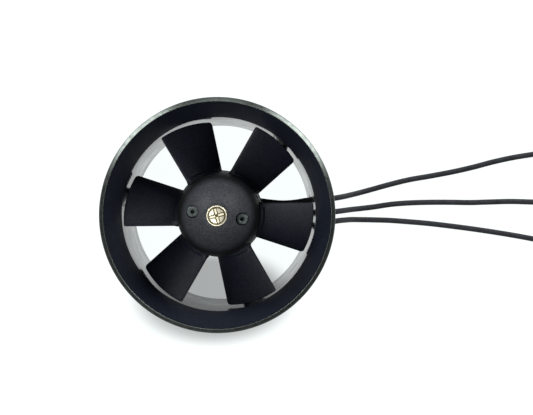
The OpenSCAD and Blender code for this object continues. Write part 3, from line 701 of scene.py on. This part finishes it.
def make_bell_cap():
    """Turned rear cap of the bell: six windows, a hub on the shaft, and a grub screw's hole."""
    shaft_r, hub_r, plate_z, hub_z = 1.5, 4.2, CAP_Z + 2, high("bell_cap").z
    cap = lathe("bell_cap_fine", rounded([
        (shaft_r, CAP_Z, 0.2), (BELL_R, CAP_Z, 0.6), (BELL_R, plate_z, 0), (hub_r, plate_z, 0.3),
        (hub_r, hub_z, 0.3), (shaft_r, hub_z, 0.1),
    ]), 192)
    window_x, window_r, mouth_r = 7.8, 2.3, 2.9
    window = [
        (0, CAP_Z - 1), (mouth_r, CAP_Z - 1), (2.5, CAP_Z - 0.001), (window_r, CAP_Z + 0.25),
        (window_r, CAP_Z + 3), (0, CAP_Z + 3),
    ]
    windows = [lathe("window", window, 64, turn(60 * i) @ shift(window_x)) for i in range(6)]
    grub_r, grub_z = 1, low("bell_grub_screw").z + 0.98
    grub = bar("grub", grub_r, 1, 6, shift(0, 0, grub_z) @ turn(90, "Y"))
    boolean(cap, "DIFFERENCE", *windows, grub)
    dress(cap, "fan", "alloy", "bell_cap")


def make_bell_can():
    """Blackened steel flux ring of the bell, its edges broken."""
    inner_r = BELL_R - 0.8
    can = lathe("bell_can_fine", rounded([
        (inner_r, CAP_Z + 2, 0.1), (BELL_R, CAP_Z + 2, 0.12), (BELL_R, BELL_TOP_Z, 0.3),
        (inner_r, BELL_TOP_Z, 0.15),
    ]), 192)
    dress(can, "fan", "black_steel", "bell_can")


# ---- Grommet ----
def bent_loop(radius, out):
    """The exits' loop, bent to a cylinder of radius out about the duct's axis."""
    return [(sqrt(out * out - y * y), y, EXIT_Z + z) for y, z in exit_loop(radius, 6)]


def make_grommet():
    """Soft grommet in the duct's wall: a plug, a rounded flange outside, and a hole for each lead."""
    plug_r, flange_r, flange_out = 2, 2.9, TUBE_R + 1.08
    profile = [
        (0.02, BORE_R - 0.05), (1.2, BORE_R - 0.05), (1.85, BORE_R - 0.02), (plug_r, BORE_R + 0.15),
        (plug_r, TUBE_R), (2.8, TUBE_R + 0.02), (flange_r, TUBE_R + 0.15), (flange_r, TUBE_R + 0.7),
        (2.8, TUBE_R + 0.95), (2.55, flange_out), (1.6, flange_out), (0.8, flange_out), (0.02, flange_out),
    ]
    grommet = loft("wall_grommet", [bent_loop(radius, out) for radius, out in profile])
    holes = []
    for route in OUTER_ROUTES.values():
        place = shift(0, route[0][1], EXIT_Z) @ turn(90, "Y")
        holes.append(bar("hole", LEAD_R, BORE_R - 5, TUBE_R + 6, place, 40))
    boolean(grommet, "DIFFERENCE", *holes)
    dress(grommet, "duct", "rubber", "lead_grommet", crease=45)


# ---- Materials ----
def add(tree, kind, inputs, **settings):
    """A shader node whose inputs are numbers, colours or links from other nodes."""
    made = tree.nodes.new(kind)
    for name, value in settings.items():
        setattr(made, name, value)
    for name, value in inputs.items():
        if isinstance(value, bpy.types.NodeSocket):
            tree.links.new(value, made.inputs[name])
        else:
            made.inputs[name].default_value = value
    return made


def start(name, **sockets):
    """A new material with its shader's constants set, its tree, its shader and its mesh coordinates."""
    material = bpy.data.materials.new(name)
    material.use_nodes = True
    tree = material.node_tree
    shader = tree.nodes["Principled BSDF"]
    for socket, value in sockets.items():
        shader.inputs[socket.replace("_", " ")].default_value = value
    where = add(tree, "ShaderNodeTexCoord", {}).outputs["Object"]
    return material, tree, shader, where


def noise(tree, where, size, detail=3, roughness=0.55):
    """Noise from 0 to 1 whose grains are about size millimetres across."""
    inputs = {"Vector": where, "Scale": 1 / (size * MM), "Detail": detail, "Roughness": roughness}
    return add(tree, "ShaderNodeTexNoise", inputs).outputs["Fac"]


def spread(tree, value, lowest, highest, start_at=0.3, end_at=0.7):
    """value, from start_at to end_at, turned into lowest to highest."""
    inputs = {"Value": value, "From Min": start_at, "From Max": end_at, "To Min": lowest, "To Max": highest}
    return add(tree, "ShaderNodeMapRange", inputs).outputs["Result"]


def tint(tree, value, *stops):
    """A colour ramp over value; each stop is (position, colour)."""
    ramp = add(tree, "ShaderNodeValToRGB", {"Fac": value})
    elements = ramp.color_ramp.elements
    while len(elements) < len(stops):
        elements.new(0.5)
    for element, (position, colour) in zip(elements, stops):
        element.position = position
        element.color = (*colour, 1)
    return ramp.outputs["Color"]


def relief(tree, shader, *layers):
    """Bump from (height from 0 to 1, depth in millimetres) layers."""
    normal = None
    for height, depth in layers:
        inputs = {"Height": height, "Distance": depth * MM, "Strength": 1.0}
        if normal:
            inputs["Normal"] = normal
        normal = add(tree, "ShaderNodeBump", inputs).outputs["Normal"]
    tree.links.new(normal, shader.inputs["Normal"])


def scaled(colour, factor):
    """A colour made lighter or darker, its channels kept to 1 at most."""
    return tuple(min(1, c * factor) for c in colour)


def with_painted_shade(tree, where, colour, shade_below):
    """colour with painted shade, darker low down; its shade argument is (low height, high height, share of it
    left below), in millimetres.
    """
    if not shade_below:
        return colour
    low_z, high_z, share = shade_below
    height = add(tree, "ShaderNodeSeparateXYZ", {"Vector": where}).outputs["Z"]
    strength = spread(tree, height, share, 1, low_z * MM, high_z * MM)
    return add(
        tree, "ShaderNodeVectorMath", {0: colour, "Scale": strength}, operation="SCALE"
    ).outputs["Vector"]


def moulded(name, colour, roughness, grain=0.35, depth=0.012, gloss=0.5, shade_below=None):
    """Moulded plastic: fine spark grain in colour and relief, cloudy roughness, and, when asked, painted
    shade that darkens it low down.
    """
    material, tree, shader, where = start(name, IOR=1.5, Specular_IOR_Level=gloss)
    clouds = noise(tree, where, size=7, detail=4)
    fine = noise(tree, where, size=grain, detail=2)
    specks = noise(tree, where, size=grain * 0.45, detail=1)
    grainy = tint(tree, fine, (0.36, scaled(colour, 0.45)), (0.64, scaled(colour, 1.8)))
    tree.links.new(with_painted_shade(tree, where, grainy, shade_below), shader.inputs["Base Color"])
    tree.links.new(spread(tree, clouds, roughness - 0.05, roughness + 0.06), shader.inputs["Roughness"])
    relief(tree, shader, (fine, depth), (specks, depth * 0.5))
    return material


def soft(name, colour, roughness):
    """Silicone or rubber: matt, slightly uneven, with a dusty bloom."""
    material, tree, shader, where = start(name, IOR=1.42, Specular_IOR_Level=0.25)
    bloom = noise(tree, where, size=2.5, detail=5, roughness=0.6)
    fine = noise(tree, where, size=0.25)
    bloomed = tint(tree, bloom, (0.35, scaled(colour, 0.8)), (0.7, scaled(colour, 1.35)))
    tree.links.new(bloomed, shader.inputs["Base Color"])
    tree.links.new(spread(tree, bloom, roughness - 0.07, roughness + 0.08), shader.inputs["Roughness"])
    relief(tree, shader, (fine, 0.006), (bloom, 0.018))
    return material


def metal(name, colour, roughness, marks, depth=0.002, metallic=1.0):
    """Metal with turned rings, ground scratches or plain polish, and slight tarnish."""
    material, tree, shader, where = start(name, Metallic=metallic)
    tarnish = noise(tree, where, size=1.8, detail=5)
    fine = noise(tree, where, size=0.12)
    tarnished = tint(tree, tarnish, (0.3, scaled(colour, 0.82)), (0.6, colour))
    tree.links.new(tarnished, shader.inputs["Base Color"])
    tree.links.new(spread(tree, tarnish, roughness * 1.35, roughness * 0.8), shader.inputs["Roughness"])
    layers = [(fine, depth)]
    if marks == "turned":
        pitch = 0.12
        rings = add(
            tree, "ShaderNodeTexWave",
            {"Vector": where, "Scale": 0.5 / (pitch * MM), "Distortion": 0.6, "Detail": 2},
            wave_type="RINGS", rings_direction="Z",
        )
        layers.append((rings.outputs["Fac"], depth))
    if marks == "ground":
        stretch = add(tree, "ShaderNodeMapping", {"Vector": where, "Scale": (1, 1, 14)}).outputs["Vector"]
        layers.append((noise(tree, stretch, size=0.8, detail=4), depth * 2))
    relief(tree, shader, *layers)
    return material


def laminated(name):
    """Stack of thin steel sheets, seen edge on."""
    material, tree, shader, where = start(name, Metallic=0.8)
    sheet = 0.35
    sheets = add(
        tree, "ShaderNodeTexWave", {"Vector": where, "Scale": 0.5 / (sheet * MM)},
        wave_type="BANDS", bands_direction="Z",
    ).outputs["Fac"]
    stains = noise(tree, where, size=1.2, detail=4)
    stained = tint(tree, stains, (0.3, (0.13, 0.13, 0.14)), (0.7, (0.3, 0.3, 0.31)))
    tree.links.new(stained, shader.inputs["Base Color"])
    tree.links.new(spread(tree, stains, 0.35, 0.55), shader.inputs["Roughness"])
    relief(tree, shader, (sheets, 0.03))
    return material


def enamelled_wire(name):
    """Copper under a clear amber enamel."""
    material, tree, shader, where = start(name, Metallic=1.0, Coat_Weight=0.8, Coat_Roughness=0.12)
    clouds = noise(tree, where, size=1.5)
    copper = tint(tree, clouds, (0.3, (0.42, 0.13, 0.04)), (0.7, (0.68, 0.27, 0.1)))
    tree.links.new(copper, shader.inputs["Base Color"])
    tree.links.new(spread(tree, clouds, 0.22, 0.36), shader.inputs["Roughness"])
    relief(tree, shader, (noise(tree, where, size=0.2, detail=2), 0.003))
    return material


def make_materials():
    """All materials by name, most of them named after the slot that they dress."""
    # Painted light and shade on the spinner: a lighter copy of the rotor's plastic, darkened towards its
    # base.
    dome_shade_below = (SEAT_Z + 11.5, SEAT_Z + 16.5, 0.12)
    return {
        "matt_plastic": moulded("matt_plastic", (0.0075, 0.0105, 0.0185), 0.65, gloss=0.15),
        "polished_band": metal("polished_band", (0.12, 0.135, 0.126), 0.27, "plain"),
        "dome_painted_light_and_shade": moulded("dome_painted_light_and_shade", (0.0325, 0.035, 0.042), 0.6, gloss=0.3, shade_below=dome_shade_below),
        "fan_plastic": moulded("fan_plastic", (0.009, 0.0115, 0.0195), 0.52, gloss=0.3, depth=0.045),
        "duct_plastic": moulded("duct_plastic", (0.009, 0.011, 0.0155), 0.2, 0.5, 0.0012, gloss=0.62),
        "black_steel": metal("black_steel", (0.1, 0.122, 0.118), 0.42, "plain", metallic=0.8),
        "bright_steel": metal("bright_steel", (0.62, 0.63, 0.65), 0.22, "ground"),
        "magnet": metal("magnet", (0.6, 0.59, 0.57), 0.3, "plain"),
        "alloy": metal("alloy", (0.66, 0.67, 0.7), 0.3, "turned"),
        "gold_plate": metal("gold_plate", (0.96, 0.9, 0.64), 0.12, "plain"),
        "screw_gold": metal("screw_gold", (0.98, 0.94, 0.72), 0.34, "plain", depth=0.001),
        # A dark gold that paints shade into the nose screw's groove and cross.
        "recess_painted_shade": metal("recess_painted_shade", (0.2, 0.165, 0.06), 0.4, "plain", depth=0.001),
        "bright_edge": metal("bright_edge", (0.9, 0.92, 0.95), 0.16, "plain", depth=0.001),
        "rubber": soft("rubber", (0.016, 0.016, 0.017), 0.62),
        "lead_rubber": soft("lead_rubber", (0.024, 0.0245, 0.0295), 0.58),
        "shrink_sleeve": moulded("shrink_sleeve", (0.012, 0.012, 0.013), 0.38, 0.5, 0.01),
        "copper_wire": enamelled_wire("copper_wire"),
        "lamination": laminated("lamination"),
        "insulator": moulded("insulator", (0.03, 0.16, 0.075), 0.35, 0.4, 0.006),
    }


def dress_cad_nodes():
    """Every CAD node gets its own slot's material, so those that stay visible match the pieces."""
    for part in frame["record"]["subparts"]:
        for place in frame["nodes"][part["node"]].material_slots:
            place.material = materials[part["material_slot"]]


# ---- Stage ----
LIGHT_AIM = (0, 0, 0.04)


def make_floor():
    """A plain pale table that glows like a light box, with the picture's soft shade painted on it."""
    half_size, sink = 6, 0.2
    shade_x, shade_y, shade_width, shade_height = -3.4, -31.6, 28, 16.5
    corners = [(x * half_size, y * half_size, 0) for x, y in ((-1, -1), (1, -1), (1, 1), (-1, 1))]
    mesh = bpy.data.meshes.new("table_top")
    mesh.from_pydata(corners, [], [(0, 1, 2, 3)])
    floor = bpy.data.objects.new("table_top", mesh)
    bpy.context.collection.objects.link(floor)
    floor.location.z = -sink * MM
    material = bpy.data.materials.new("table_top")
    material.use_nodes = True
    tree = material.node_tree
    tree.nodes.clear()
    where = add(tree, "ShaderNodeTexCoord", {}).outputs["Object"]
    offset = (-shade_x * MM, -shade_y * MM, 0)
    centred = add(tree, "ShaderNodeMapping", {"Vector": where, "Location": offset}).outputs["Vector"]
    shares = (1 / (shade_width * MM), 1 / (shade_height * MM), 1)
    ellipse = add(
        tree, "ShaderNodeVectorMath", {0: centred, 1: shares}, operation="MULTIPLY"
    ).outputs["Vector"]
    distance = add(tree, "ShaderNodeVectorMath", {0: ellipse}, operation="LENGTH").outputs["Value"]
    glow = add(
        tree, "ShaderNodeMapRange",
        {"Value": distance, "From Min": 0.78, "From Max": 1.22, "To Min": 0.41, "To Max": 0.99},
        interpolation_type="SMOOTHSTEP",
    ).outputs["Result"]
    emission = add(tree, "ShaderNodeEmission", {"Color": (0.95, 1, 0.995, 1), "Strength": glow})
    diffuse = add(tree, "ShaderNodeBsdfDiffuse", {"Color": (0.15, 0.15, 0.15, 1)})
    both = add(tree, "ShaderNodeAddShader", {0: emission.outputs[0], 1: diffuse.outputs[0]})
    add(tree, "ShaderNodeOutputMaterial", {"Surface": both.outputs[0]})
    mesh.materials.append(material)


def area_light(name, place, size, power):
    """A round, soft studio light, aimed at the object; LIGHT_AIM, place and size are in metres."""
    data = bpy.data.lights.new(name, "AREA")
    data.shape = "DISK"
    data.size = size
    data.energy = power
    lamp = bpy.data.objects.new(name, data)
    lamp.location = place
    lamp.rotation_euler = (Vector(LIGHT_AIM) - Vector(place)).to_track_quat("-Z", "Y").to_euler()
    bpy.context.collection.objects.link(lamp)


def make_lights():
    """Five soft lights, and a world that is white to the camera and dim as a light."""
    area_light("left_box", (-0.66, 0.66, 0.39), 0.6, 6.2)
    area_light("right_box", (0.66, 0.66, 0.39), 0.6, 6.8)
    area_light("top_box", (0, 1, 0.5), 0.5, 1)
    area_light("overhead", (-0.24, 0.02, 0.78), 0.42, 1.1)
    area_light("fill", (-0.22, -0.55, 0.86), 0.8, 4.8)
    world = bpy.data.worlds.new("studio")
    world.use_nodes = True
    tree = world.node_tree
    tree.nodes.clear()
    seen = add(tree, "ShaderNodeLightPath", {}).outputs["Is Camera Ray"]
    dim = add(tree, "ShaderNodeBackground", {"Color": (1, 1, 1, 1), "Strength": 0.12})
    pale = add(tree, "ShaderNodeBackground", {"Color": (0.98, 1, 0.998, 1), "Strength": 1.0})
    both = add(tree, "ShaderNodeMixShader", {0: seen, 1: dim.outputs[0], 2: pale.outputs[0]})
    add(tree, "ShaderNodeOutputWorld", {"Surface": both.outputs[0]})
    bpy.context.scene.world = world
    bpy.context.scene.view_settings.view_transform = "Standard"


make_camera()
materials = make_materials()
for which in OUTER_ROUTES:
    make_lead(which)
make_inner_leads()
make_intake_ring()
make_duct()
make_grommet()
make_rotor()
make_spinner()
make_spinner_screws()
make_nose_screw()
make_windings()
make_bell_cap()
make_bell_can()
dress_cad_nodes()
make_floor()
make_lights()
